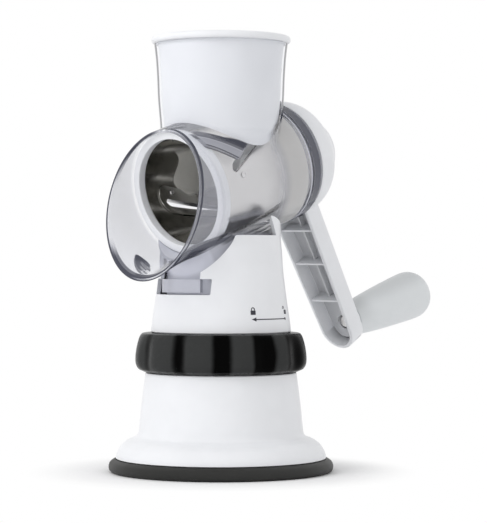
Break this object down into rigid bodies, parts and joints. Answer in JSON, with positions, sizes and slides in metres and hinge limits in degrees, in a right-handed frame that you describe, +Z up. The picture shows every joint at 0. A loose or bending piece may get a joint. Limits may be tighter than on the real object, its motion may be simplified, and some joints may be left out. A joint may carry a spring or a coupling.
{
  "type": "vegetable cutter",
  "caption": "Hand cranked rotary slicer: a drum in a clear tilted housing with a hopper on top, on a cone stand with a twist lock suction foot.",
  "frame": {"origin": "centre of the suction pad's flat underside", "axes": "+Z up through the stand; the drum's mouth faces -Y and leans down 14.3 degrees; the crank is at +Y; +X is the side with the crank arm's slight swing in the picture"},
  "size_m": [0.14, 0.2631, 0.2703],
  "materials": {
    "white_plastic": "smooth semi-gloss white plastic",
    "black_plastic": "smooth gloss black plastic",
    "grey_plastic": "smooth light grey plastic",
    "clear_plastic": "clear, slightly smoky plastic, polished",
    "stainless_steel": "bright stainless steel",
    "rubber": "matt black rubber"
  },
  "bodies": {
    "base": {"suction_pad": "rubber", "lower_base": "white_plastic", "guide_plate": "grey_plastic", "base_screw_1": "stainless_steel", "base_screw_2": "stainless_steel", "base_screw_3": "stainless_steel", "base_screw_4": "stainless_steel", "stand": "white_plastic", "stand_screw_1": "stainless_steel", "stand_screw_2": "stainless_steel", "stand_screw_3": "stainless_steel"},
    "lock": {"lock_ring": "black_plastic"},
    "vacuum_stem": {"lift_stem": "stainless_steel", "cross_pin": "stainless_steel", "stem_spring": "stainless_steel"},
    "housing": {"clear_housing": "clear_plastic", "shaft_bushing": "grey_plastic"},
    "chute": {"hopper": "white_plastic"},
    "crank": {"drive_shaft": "stainless_steel", "crank_arm": "white_plastic", "crank_screw": "stainless_steel", "crank_cap": "white_plastic"},
    "drum": {"drum_front_ring": "white_plastic", "cutting_drum": "stainless_steel", "drum_hub": "white_plastic", "slicing_blade_1": "stainless_steel", "slicing_blade_2": "stainless_steel", "slicing_blade_3": "stainless_steel", "slicing_blade_4": "stainless_steel", "blade_rivet_1": "stainless_steel", "blade_rivet_2": "stainless_steel", "blade_rivet_3": "stainless_steel", "blade_rivet_4": "stainless_steel", "blade_rivet_5": "stainless_steel", "blade_rivet_6": "stainless_steel", "blade_rivet_7": "stainless_steel", "blade_rivet_8": "stainless_steel"},
    "knob": {"knob_grip": "grey_plastic", "knob_axle": "stainless_steel"}
  },
  "joints": [
    {"name": "lock_ring_turn", "type": "hinge", "parent": "base", "child": "lock", "pos_m": [0, 0, 0.074], "axis": [0, 0, 1], "range_deg": [0, 60]},
    {"name": "stem_lift", "type": "slide", "parent": "base", "child": "vacuum_stem", "axis": [0, 0, 1], "range_m": [0, 0.005], "deforming": ["stem_spring"]},
    {"name": "housing_lift", "type": "slide", "parent": "base", "child": "housing", "axis": [0, 0, 1], "range_m": [0, 0.045]},
    {"name": "hopper_lift", "type": "slide", "parent": "housing", "child": "chute", "axis": [0, 0, 1], "range_m": [0, 0.06]},
    {"name": "crank_turn", "type": "hinge", "parent": "housing", "child": "crank", "pos_m": [0, 0.05126, 0.1947], "axis": [0, -0.969, -0.247], "continuous": true},
    {"name": "drum_pull", "type": "slide", "parent": "crank", "child": "drum", "axis": [0, -0.969, -0.247], "range_m": [0, 0.12]},
    {"name": "knob_spin", "type": "hinge", "parent": "crank", "child": "knob", "pos_m": [-0.00143, 0.12142, 0.09154], "axis": [0, -0.969, -0.247], "continuous": true}
  ],
  "couplings": [
    {"joint": "stem_lift", "follows": "lock_ring_turn", "m_per_rad": 0.004774}
  ]
}
